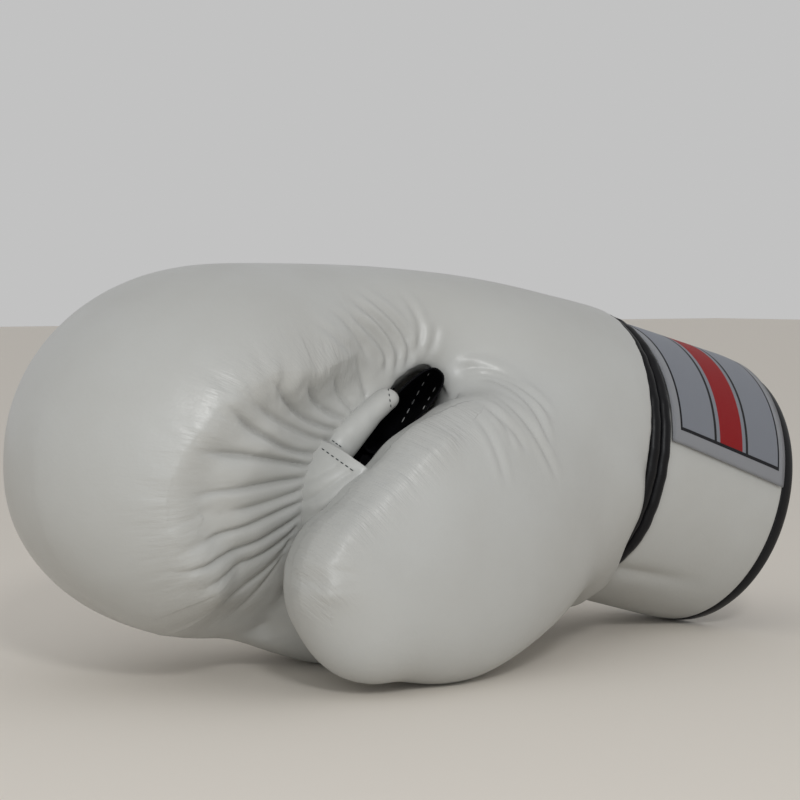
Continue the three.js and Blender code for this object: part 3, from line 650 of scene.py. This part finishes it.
def shape_skin(obj, settings):
    mesh = obj.data
    points = coordinates(mesh)
    edges = edge_pairs(mesh)
    flat = points[:, [0, 2]] / MM
    y = points[:, 1] / MM

    near_slot = np.full(len(points), 1e9)
    outside = y < 0
    lip = np.array([p[0] for p in PLEATS], float)
    near_slot[outside] = polyline_distance(flat[outside], lip)[0]
    gentle = smoothstep(2, 16, near_slot)
    seam = smoothstep(62, 50, flat[:, 0])
    points = relax(points, edges, 0.5 * np.minimum(0.25 + 0.75 * gentle, 0.2 + 0.8 * seam), 50)
    base = smoothstep(-22, 8, flat[:, 0]) * smoothstep(66, 52, flat[:, 0]) * smoothstep(-8, -20, y)
    points = relax(points, edges, 0.55 * base, 160)
    x, y, z = (points / MM).T
    on_edge, _, _ = polyline_distance(np.stack([x, z], -1), np.array(THUMB_EDGE, float))
    swell = np.exp(-((on_edge / 13) ** 2)) * smoothstep(-34, -42, y) * smoothstep(-96, -90, x)
    swell *= 0.25 + 0.75 * smoothstep(-51, -64, x)
    points += swell[:, None] * np.array((-3.5, 1.7, 2.6)) * MM
    low_lip, _, _ = polyline_distance(np.stack([x, z], -1), np.array(LOW_LIP, float))
    lean = np.exp(-((low_lip / 12) ** 2)) * smoothstep(-42, -36, y) * smoothstep(4, -4, y)
    points[:, 0] += 4.2 * lean * MM
    place_vertices(mesh, cover_piping(points))
    place_vertices(mesh, widen_mouth(coordinates(mesh), vertex_normals(mesh)))
    refine_front(obj)

    normal = vertex_normals(mesh)
    points = coordinates(mesh)
    flat = points[:, [0, 2]] / MM
    y = points[:, 1] / MM
    facing = smoothstep(0.15, -0.25, normal[:, 1])
    near = (y < 8) & (facing > 0)
    part, depth_in = flat[near], y[near]
    push = np.zeros(len(points))
    crease = np.zeros(len(points))
    gather = np.zeros(len(points))

    on_thumb = smoothstep(-39, -45, depth_in) * smoothstep(-97, -91, part[:, 0])
    on_mitt = (1 - on_thumb) * smoothstep(2, -14, part[:, 0])
    crest, along_crest, crest_side = polyline_distance(part, np.array(CREST, float))
    crest_at = along_crest * 190
    rounded = np.sqrt(crest**2 + 9) - 3
    spread = np.where(crest_side < 0, 15, 7)
    crest_ends = smoothstep(0, 0.15, along_crest) * smoothstep(1, 0.86, along_crest)
    local = settings.crest_height / MM * np.exp(-rounded / spread) * on_mitt * crest_ends
    local *= smoothstep(44, 14, crest)
    pillow, groove = pleat_height(part)
    local += settings.pleat_depth / MM * pillow * on_mitt
    rim = np.exp(-((crest / 10) ** 2)) * on_mitt
    creep = 0.25 * crest
    rim *= smoothstep(0, 0.16, along_crest) * (0.55 + 0.45 * value_noise(crest_at / 16, crest / 30, 10))
    local += 0.2 * rim * value_noise(crest_at / 1.7, creep / 1.6, 11)
    local += 0.42 * rim * value_noise(crest_at / 4.0 + 3, creep / 2.2, 12)
    local -= 2.2 * np.exp(-(((crest - 12) / 7) ** 2)) * on_mitt * crest_ends * (crest_side > 0)
    inside = np.exp(-((crest / 34) ** 2)) * on_mitt * (crest_side > 0) * crest_ends
    local += 0.28 * inside * value_noise(part[:, 0] / 6, part[:, 1] / 3.5, 13)

    for start, middle, end, depth in CREASES:
        distance, share, _ = polyline_distance(part, bezier((start, middle, end), 14))
        fade = smoothstep(0.0, 0.25, share) * (1 - smoothstep(0.6, 1.0, share))
        local -= 1.25 * depth * np.exp(-np.hypot(distance, 0.4) / 1.1) * fade
        local += 0.65 * depth * np.exp(-(((distance - 2.8) / 1.7) ** 2)) * fade

    ridge, along, ridge_side = polyline_distance(part, np.array(THUMB_RIDGE, float))
    ridge_at = along * 92
    local += 3.0 * np.exp(-(np.sqrt(ridge**2 + 2) - 1.4) / 4.5) * on_thumb * smoothstep(1, 0.8, along)
    band = np.exp(-(((ridge - 5) / 8) ** 2)) * on_thumb * smoothstep(-3, 3, ridge * ridge_side)
    local += 0.5 * band * value_noise(ridge_at / 5, ridge / 11, 21)
    local += 0.2 * band * value_noise(ridge_at / 1.8, ridge / 9, 22)
    thumb_rim = np.exp(-((ridge / 5) ** 2)) * on_thumb
    local += 0.22 * thumb_rim * value_noise(ridge_at / 1.5, ridge / 6, 23)

    push[near] = local * facing[near] * smoothstep(8, 0, depth_in)
    # The crease mask marks where the skin's colour is darkened as painted shade in the pleat creases.
    crease[near] = groove * on_mitt
    gather[near] = np.maximum(rim, np.maximum(band, thumb_rim)) * facing[near]
    push += 0.25 * value_noise(flat[:, 0] / 31, flat[:, 1] / 27 + y / 40, 31)
    place_vertices(mesh, points + normal * push[:, None] * MM)

    fan = np.empty((len(points), 2))
    offset = flat - np.array((-50.0, 70.0))
    fan[:, 0] = np.arctan2(offset[:, 1], -offset[:, 0]) * 45 * MM
    fan[:, 1] = np.hypot(offset[:, 0], offset[:, 1]) * MM
    thumb = y < -47
    fan[thumb, 0] = (flat[thumb] @ np.array((0.81, 0.59))) * MM
    fan[thumb, 1] = (flat[thumb] @ np.array((0.59, -0.81))) * MM
    paint_mask(mesh, "gather", gather)
    paint_mask(mesh, "crease", np.clip(crease, 0, 1))
    paint_uv(mesh, "fan", fan)


class GloveSkinSettings(bpy.types.PropertyGroup):
    voxel: bpy.props.FloatProperty(
        name="Voxel size", description="Mesh fineness of the padded skin", default=0.0013,
        min=0.0005, max=0.01, unit="LENGTH")
    pleat_depth: bpy.props.FloatProperty(
        name="Pleat depth", description="Depth of the deepest pleat at the slot", default=0.0038,
        min=0.0, max=0.01, unit="LENGTH")
    crest_height: bpy.props.FloatProperty(
        name="Crest height", description="How far the padding swells where it turns to the slot",
        default=0.0045, min=0.0, max=0.01, unit="LENGTH")
    colour: bpy.props.FloatVectorProperty(
        name="Leather colour", description="Main colour of the leather", subtype="COLOR",
        default=(0.5, 0.505, 0.49), min=0, max=1)
    shade: bpy.props.FloatVectorProperty(
        name="Mottle colour", description="Colour the leather wanders to", subtype="COLOR",
        default=(0.465, 0.465, 0.445), min=0, max=1)


class GLOVE_OT_skin(bpy.types.Operator):
    """Padded leather skin of the mitt and thumb, gathered into pleats round the palm slot"""

    bl_idname = "glove.skin"
    bl_label = "Mitt and thumb skin"

    def execute(self, context):
        settings = context.scene.glove_skin
        plug = mouth_plug()
        parts = []
        for node in ("mitt_shell", "thumb"):
            part = merged_copy(node + "_skin", [node])
            apply_modifier(part, "DISPLACE", strength=0.0004, mid_level=0.0)
            parts.append(part)
        parts += [filler((27, -34, 82), (38, 20, 24)), filler((45, -34, 62), (24, 20, 30))]
        parts.append(filler((-68, 2, 43), (18, 18, 27)))
        for part in parts:
            carve(part, plug)
        bpy.data.objects.remove(plug)
        skin = parts[0]
        make_active(skin)
        for part in parts[1:]:
            part.select_set(True)
        bpy.ops.object.join()
        skin.name = skin.data.name = "mitt_skin"
        voxel_remesh(skin, settings.voxel)
        keep_largest_shell(skin)
        apply_modifier(skin, "DISPLACE", strength=-0.0004, mid_level=0.0)
        shape_skin(skin, settings)
        finish_piece(skin, material("skin"), "white_leather", "mitt_shell", "thumb")
        return {"FINISHED"}


# Small pieces in the slot


def cut_away(obj, place, normal, fill=True):
    """Cuts off what lies on the normal's side of a plane, and closes the cut."""
    make_active(obj)
    bpy.ops.object.mode_set(mode="EDIT")
    bpy.ops.mesh.select_all(action="SELECT")
    bpy.ops.mesh.bisect(plane_co=[c * MM for c in place], plane_no=normal, use_fill=fill, clear_outer=True)
    bpy.ops.object.mode_set(mode="OBJECT")


def sew(name, thread, spots, length=1.15, width=0.3):
    """One stitch is modelled, copied to each spot (place, along, out), and joined to one piece."""
    clear_selection()
    bpy.ops.mesh.primitive_uv_sphere_add(segments=8, ring_count=6, radius=1)
    stitch = bpy.context.object
    bpy.ops.object.mode_set(mode="EDIT")
    bpy.ops.transform.resize(value=(length * MM, width * MM, width * 0.75 * MM))
    bpy.ops.object.mode_set(mode="OBJECT")
    copies = []
    for place, along, out in spots:
        along = Vector(along).normalized()
        side = Vector(out).cross(along).normalized()
        up = along.cross(side)
        turn = Matrix((along, side, up)).transposed().to_4x4()
        copy = bpy.data.objects.new(name, stitch.data.copy())
        copy.data.transform(Matrix.Translation(Vector(place)) @ turn)
        bpy.context.scene.collection.objects.link(copy)
        copies.append(copy)
    bpy.data.objects.remove(stitch)
    make_active(copies[0])
    for copy in copies:
        copy.select_set(True)
    bpy.ops.object.join()
    slot = "white_leather" if thread == "white thread" else "black_leather"
    return finish_piece(bpy.context.object, material(thread), slot)


def surface_run(target, line, step, lift=0.12, view=(0.587, 0.808, -0.052)):
    """Spots at even steps along a line of (x, y, z) mm, cast along a direction on to a piece."""
    tree = BVHTree.FromObject(target, bpy.context.evaluated_depsgraph_get())
    line = np.array(line, float)
    lengths = np.r_[0, np.cumsum(np.linalg.norm(np.diff(line, axis=0), axis=1))]
    count = max(int(lengths[-1] / step), 1)
    at = (np.arange(count) + 0.5) * lengths[-1] / count
    places = np.stack([np.interp(at, lengths, line[:, k]) for k in range(3)], -1)
    direction = Vector(view).normalized()
    hits = []
    for place in places:
        hit, normal, _, _ = tree.ray_cast(Vector(place) * MM - direction * 0.2, direction)
        if hit is not None:
            hits.append((hit + normal * lift * MM, normal))
    spots = []
    for i, (place, normal) in enumerate(hits):
        other = hits[i + 1][0] if i + 1 < len(hits) else 2 * place - hits[i - 1][0]
        spots.append((place, other - place, normal))
    return spots


# The slot's edge from the crotch to its low end, x, z in mm, with the roll's half width there
ROLL = (
    (-36, 98.5, 4.0), (-41, 95.5, 4.2), (-46.5, 91.5, 4.6),
    (-52, 87, 5.3), (-57, 82.5, 6.0), (-62, 77.5, 6.4),
)
FOLDS = (
    ((-62, 74), (-69, 70), (-78, 59), 1.0),
    ((-60, 72), (-66, 66), (-75, 57), 0.7),
    ((-66, 76), (-73, 71), (-77, 66), 0.5),
)


class GLOVE_OT_slot_pieces(bpy.types.Operator):
    """Lining, rolled facing and thumb loop in the palm slot, with their stitches"""

    bl_idname = "glove.slot_pieces"
    bl_label = "Palm slot pieces"

    def execute(self, context):
        lining = merged_copy("palm_lining", ["palm_panel"])
        plug = mouth_plug()
        carve(lining, plug)
        bpy.data.objects.remove(plug)
        voxel_remesh(lining, 0.0009)
        cut_away(lining, (-66, 0, 68), (-0.2, 0, -1))
        points = coordinates(lining.data)
        x, y, _ = (points / MM).T
        points[:, 1] += 7 * MM * smoothstep(-24, -40, x) * smoothstep(-18, -28, y)
        place_vertices(lining.data, points)
        bowl = mouth_plug(0.93)
        front = np.array(MOUTH_MIDDLE) - np.array(MOUTH_AXES[2]) * 5
        cut_away(bowl, front, [-c for c in MOUTH_AXES[2]], fill=False)
        apply_modifier(bowl, "SOLIDIFY", thickness=0.0006, offset=-1)
        make_active(lining)
        bowl.select_set(True)
        bpy.ops.object.join()
        finish_piece(lining, material("cloth"), "black_cloth", "palm_panel")
        facing = self.roll()
        strap = merged_copy("thumb_loop", ["thumb_strap"])
        voxel_remesh(strap, 0.00055)
        points = coordinates(strap.data)
        edges = edge_pairs(strap.data)
        high = smoothstep(0.062, 0.077, points[:, 2])
        right = smoothstep(-0.068, -0.058, points[:, 0])
        points[:, 0] += 0.4 * np.maximum(0.07 - points[:, 2], 0) - 0.0026 * high * right
        points[:, 2] += 0.0028 * high
        points = relax(points, edges, np.full(len(points), 0.5), 10)
        place_vertices(strap.data, points)
        normal = vertex_normals(strap.data)
        flat = points[:, [0, 2]] / MM
        push = np.zeros(len(points))
        for start, middle, end, depth in FOLDS:
            distance, share, side = polyline_distance(flat, bezier((start, middle, end), 14))
            fade = smoothstep(0, 0.15, share) * (1 - smoothstep(0.7, 1.0, share))
            push -= 0.9 * depth * np.exp(-distance / np.where(side > 0, 2.2, 0.7)) * fade
            push += 0.5 * depth * np.exp(-(((distance - 2.5) / 1.8) ** 2)) * fade
        front = smoothstep(0.1, -0.4, normal[:, 1])
        place_vertices(strap.data, points + normal * (push * front)[:, None] * MM)
        finish_piece(strap, material("white"), "white_leather", "thumb_strap")

        hem = [((-68.8, -30, 81.0), (-54.8, -30, 72.9))]
        spots = [spot for line in hem for spot in surface_run(strap, line, 2.3)]
        sew("hem_stitches", "dark thread", spots, 0.75, 0.2)
        rows = surface_run(facing, ((-39.5, -28, 100.5), (-38.2, -28, 93.2)), 1.7)
        rows += surface_run(facing, ((-64.4, -30, 83.4), (-60.2, -30, 80.8)), 1.5)
        sew("facing_stitches", "dark thread", rows, 0.6, 0.2)
        dashes = [((-11.5, -15, 105.5), (-24.5, -15, 86.3)), ((-8.6, -15, 100), (-15.5, -15, 90.5))]
        spots = [spot for line in dashes for spot in surface_run(lining, line, 3.4)]
        sew("lining_stitches", "white thread", spots, 1.2, 0.2)
        return {"FINISHED"}

    def roll(self):
        """Rolled leather facing that lies along the slot's upper edge"""
        table = np.array(ROLL, float)
        lengths = np.r_[0, np.cumsum(np.hypot(*np.diff(table[:, :2], axis=0).T))]

        def place(u, v):
            at = v * lengths[-1]
            x, z, half = (np.interp(at, lengths, table[:, k]) for k in range(3))
            ends = np.clip(1 - np.abs(2 * v - 1) ** 9, 0, 1) ** 0.5
            puff = 1 + 0.05 * value_noise(v * 9, u * 5, 41)
            angle = u * 2 * math.pi
            across = half * ends * np.cos(angle) * puff
            deep = 5.2 * ends * np.sin(angle) * puff
            return np.stack([x + 0.64 * across, -26.5 + deep, z - 0.77 * across], -1) * MM

        obj = grid_piece("rolled_facing", 32, 60, place)
        close_ring(obj)
        return finish_piece(obj, material("white"), "white_leather", "finger_facing")


# Cuff pieces


def cuff_points(share, x, r, angle):
    """Places on the cuff, in metres: share of its length plus x mm, r mm out, at an angle."""
    out = r + CUFF_FLARE * np.clip(share, 0, 1)
    y = (CUFF_HALF_WIDTH + out) * np.cos(angle)
    z = (CUFF_HALF_HEIGHT + out) * np.sin(angle)
    seam_x = -math.tan(SEAM_SKEW) * z
    along = seam_x * (1 - share) + CUFF_LENGTH * share + x
    local = np.stack([along, y, z], -1) * MM
    matrix = np.array(CUFF_AXES)
    return local @ matrix[:3, :3].T + matrix[:3, 3]


def grid_piece(name, columns, rows, place):
    """A grid whose vertices are laid out by place(u, v), with u across and v along, 0 to 1."""
    clear_selection()
    bpy.ops.mesh.primitive_grid_add(x_subdivisions=columns, y_subdivisions=rows, size=1)
    obj = bpy.context.object
    obj.name = name
    obj.data.name = name
    flat = coordinates(obj.data)
    u, v = flat[:, 0] + 0.5, flat[:, 1] + 0.5
    place_vertices(obj.data, place(u, v))
    for layer in list(obj.data.uv_layers):
        obj.data.uv_layers.remove(layer)
    paint_uv(obj.data, "sheet", np.stack([u, v], -1))
    return obj


def close_ring(obj):
    make_active(obj)
    bpy.ops.object.mode_set(mode="EDIT")
    bpy.ops.mesh.select_all(action="SELECT")
    bpy.ops.mesh.remove_doubles(threshold=1e-6)
    bpy.ops.mesh.normals_make_consistent(inside=False)
    bpy.ops.object.mode_set(mode="OBJECT")


def ring_piece(name, profile, steps, wobble=None):
    """A closed profile, a table of (share, x, r), swept all the way round the cuff."""
    table = np.array(profile, float)
    count = len(table)

    def place(u, v):
        index = np.rint(u * count).astype(int) % count
        angle = v * 2 * math.pi
        row = table[index]
        r = row[:, 2] + (wobble(angle, u) if wobble else 0)
        return cuff_points(row[:, 0], row[:, 1], r, angle)

    obj = grid_piece(name, count, steps, place)
    close_ring(obj)
    return obj


def roll(x, r, radius, count=14):
    angles = np.arange(count) / count * 2 * math.pi
    return [(0.0, x + radius * math.cos(a), r + radius * math.sin(a)) for a in angles]


class GLOVE_OT_cuff(bpy.types.Operator):
    """Padded wrist tube with rounded ends"""

    bl_idname = "glove.cuff"
    bl_label = "Cuff"

    def execute(self, context):
        wall = CUFF_WALL
        profile = [(0, 0.4, -3.0), (0, 1.4, -1.0), (0, 3.4, -0.1), (0.25, 0, 0), (0.5, 0, 0), (0.75, 0, 0)]
        profile += [(1, -5, 0), (1, -2.8, -0.6), (1, -2.0, -3)]
        profile += [(1, -2.0, -wall + 3), (1, -2.8, -wall + 0.6)]
        profile += [(1, -5, -wall), (0.75, 0, -wall), (0.5, 0, -wall), (0.25, 0, -wall), (0, 2, -wall)]
        profile += [(0, 0.4, -wall + 1.5), (0, 0.4, -wall / 2)]
        cuff = ring_piece("cuff_tube", profile, 128)
        apply_modifier(cuff, "SUBSURF", levels=1, render_levels=1)
        finish_piece(cuff, material("lining"), "white_leather", "cuff")
        return {"FINISHED"}


class GLOVE_OT_edgings(bpy.types.Operator):
    """Black piping, strap edging and rim binding"""

    bl_idname = "glove.edgings"
    bl_label = "Black edgings"

    def execute(self, context):
        piping_x = 2 * TRIM_GAP + 2.8
        edging_x = piping_x + 2.8 + TRIM_GAP + 2.6

        def pucker(angle, u):
            turn = np.degrees(angle)
            sunk = 3.0 * smoothstep(205, 235, turn) * smoothstep(338, 308, turn)
            return 0.1 * np.sin(angle * 37 + 1.3) + 0.06 * np.sin(angle * 53 + 2 * math.pi * u) - sunk

        piping = ring_piece("wrist_piping_roll", roll(piping_x, 2.8 + TRIM_GAP, 2.8), 240, pucker)
        finish_piece(piping, material("black"), "black_leather", "wrist_piping")
        edging = ring_piece("strap_edging_roll", roll(edging_x, 2.6 + TRIM_GAP, 2.6), 240, pucker)
        finish_piece(edging, material("black"), "black_leather", "strap_edging")
        t, inner, outer = 1.6, -CUFF_WALL - TRIM_GAP, TRIM_GAP
        profile = [(1, -8, outer), (1, -5, outer), (1, -t, outer - 0.6), (1, -t, inner + 0.6), (1, -5, inner)]
        profile += [(1, -8, inner), (1, -8, inner - t), (1, -4, inner - t), (1, -1.4, inner - 0.9)]
        profile += [(1, -0.2, inner + 2.5), (1, 0, (inner + outer) / 2), (1, -0.2, outer - 2.5)]
        profile += [(1, -1.4, outer + 0.9), (1, -4, outer + t), (1, -8, outer + t)]
        binding = ring_piece("rim_binding_roll", profile, 240)
        apply_modifier(binding, "SUBSURF", levels=1, render_levels=1)
        finish_piece(binding, material("black"), "black_leather", "rim_binding")
        return {"FINISHED"}


class GLOVE_OT_strap(bpy.types.Operator):
    """Wide wrist strap wrapped round the cuff and lapped over itself, with its label"""

    bl_idname = "glove.strap"
    bl_label = "Closure strap and label"

    def execute(self, context):
        edge_x = 2 * TRIM_GAP + 2 * 2.8 + TRIM_GAP + 2 * 2.6
        start_x, end_x = edge_x + TRIM_GAP, -8 - TRIM_GAP
        tail, overlap, ramp_angle = math.radians(15), math.radians(70), math.radians(6)
        first = tail - overlap
        last = 2 * math.pi + tail
        lap_at = 2 * math.pi + tail - overlap

        def place(u, v):
            angle = first + (last - first) * v
            lift = 2.5 * smoothstep(lap_at - 2 * ramp_angle, lap_at - ramp_angle, angle)
            x = start_x * (1 - u) + end_x * u
            edge = np.minimum(u, 1 - u)
            puff = 0.5 * smoothstep(0, 0.12, edge)
            under = np.mod(angle, 2 * math.pi)
            dip = np.exp(-(((under - math.radians(231) + 0.12 * u) / 0.07) ** 2)) * smoothstep(0.8, 0.2, u)
            r = TRIM_GAP + lift + puff - 1.6 * dip
            return cuff_points(u, x, r, angle)

        strap = grid_piece("wrist_strap", 24, 220, place)
        apply_modifier(strap, "SOLIDIFY", thickness=0.0018, offset=-1)
        fix_outward(strap)
        apply_modifier(strap, "BEVEL", width=0.0005, segments=2, limit_method="ANGLE")
        finish_piece(strap, material("white"), "white_leather", "closure_strap")

        near, far = math.radians(80), math.radians(60)

        def place_label(u, v):
            angle = math.pi / 2 - far + (near + far + math.radians(5.5) * u) * v
            x = (start_x + 1.2) * (1 - u) + (end_x - 1.2) * u
            edge = np.minimum(u, 1 - u)
            r = 2.5 + 2 * TRIM_GAP + 0.5 * smoothstep(0, 0.12, edge) + 0.1
            return cuff_points(u, x, r, angle)

        label = grid_piece("wrist_label", 24, 96, place_label)
        apply_modifier(label, "SOLIDIFY", thickness=0.0007, offset=-1)
        fix_outward(label)
        finish_piece(label, material("label"), "grey_label", "strap_label")
        return {"FINISHED"}


def fix_outward(obj):
    make_active(obj)
    bpy.ops.object.mode_set(mode="EDIT")
    bpy.ops.mesh.select_all(action="SELECT")
    bpy.ops.mesh.normals_make_consistent(inside=False)
    bpy.ops.object.mode_set(mode="OBJECT")


# Stage


def area_light(name, place, target, size, power, colour=(1, 1, 1)):
    data = bpy.data.lights.new(name, "AREA")
    data.shape = "DISK"
    data.size = size
    data.energy = power
    data.color = colour
    obj = bpy.data.objects.new(name, data)
    obj.location = place
    obj.rotation_euler = (Vector(target) - Vector(place)).to_track_quat("-Z", "Y").to_euler()
    bpy.context.scene.collection.objects.link(obj)


class GloveStageSettings(bpy.types.PropertyGroup):
    key_power: bpy.props.FloatProperty(
        name="Key light", description="Power of the light on the thumb's side", default=5.0,
        min=0, unit="POWER")
    floor_colour: bpy.props.FloatVectorProperty(
        name="Floor colour", description="Plain pale floor", subtype="COLOR",
        default=(0.8, 0.75, 0.68), min=0, max=1)


class GLOVE_OT_stage(bpy.types.Operator):
    """Plain pale floor, soft studio light and the camera"""

    bl_idname = "glove.stage"
    bl_label = "Stage, light and camera"

    def execute(self, context):
        settings = context.scene.glove_stage
        clear_selection()
        bpy.ops.mesh.primitive_plane_add(size=12, location=(0, 0, 0))
        floor = context.object
        floor.name = "floor"
        pale, _, _ = new_material("Pale floor", tuple(settings.floor_colour), 0.8)
        floor.data.materials.append(pale)

        world = bpy.data.worlds.new("Studio")
        world.use_nodes = True
        world.node_tree.nodes["Background"].inputs["Color"].default_value = (1, 1, 1, 1)
        world.node_tree.nodes["Background"].inputs["Strength"].default_value = 0.54
        context.scene.world = world
        target = (0, 0, 0.07)
        area_light("key", (-0.64, -1.2, 0.78), target, 0.2, settings.key_power)
        area_light("fill", (-0.82, -0.9, 0.28), target, 0.9, settings.key_power * 0.5, (0.9, 0.96, 1.0))
        context.scene.view_settings.view_transform = "Standard"

        camera = bpy.data.objects.new("camera", bpy.data.cameras.new("camera"))
        camera.data.sensor_width = 36
        camera.data.lens = 97.9
        camera.data.clip_start = 0.01
        look = Vector((-6.755, 10.043, 93.5)) * MM
        azimuth, elevation = math.radians(-36), math.radians(3)
        back = Vector((math.sin(azimuth) * math.cos(elevation),
                       -math.cos(azimuth) * math.cos(elevation), math.sin(elevation)))
        camera.location = look + back * 0.8
        camera.rotation_euler = (-back).to_track_quat("-Z", "Y").to_euler()
        context.scene.collection.objects.link(camera)
        context.scene.camera = camera
        return {"FINISHED"}


class GLOVE_PT_panel(bpy.types.Panel):
    """Glove tools in the sidebar"""

    bl_label = "Boxing glove"
    bl_idname = "GLOVE_PT_panel"
    bl_space_type = "VIEW_3D"
    bl_region_type = "UI"
    bl_category = "Glove"

    def draw(self, context):
        for settings in (context.scene.glove_skin, context.scene.glove_stage):
            for name in settings.__annotations__:
                self.layout.prop(settings, name)
        for step in STEPS:
            self.layout.operator(step)


STEPS = ("glove.skin", "glove.slot_pieces", "glove.cuff", "glove.edgings", "glove.strap", "glove.stage")
CLASSES = (
    GloveSkinSettings,
    GloveStageSettings,
    GLOVE_OT_skin,
    GLOVE_OT_slot_pieces,
    GLOVE_OT_cuff,
    GLOVE_OT_edgings,
    GLOVE_OT_strap,
    GLOVE_OT_stage,
    GLOVE_PT_panel,
)


def register():
    for cls in CLASSES:
        bpy.utils.register_class(cls)
    bpy.types.Scene.glove_skin = bpy.props.PointerProperty(type=GloveSkinSettings)
    bpy.types.Scene.glove_stage = bpy.props.PointerProperty(type=GloveStageSettings)


def unregister():
    del bpy.types.Scene.glove_stage
    del bpy.types.Scene.glove_skin
    for cls in reversed(CLASSES):
        bpy.utils.unregister_class(cls)


def main():
    register()
    for step in STEPS:
        group, name = step.split(".")
        getattr(getattr(bpy.ops, group), name)()


if __name__ == "__main__":
    main()
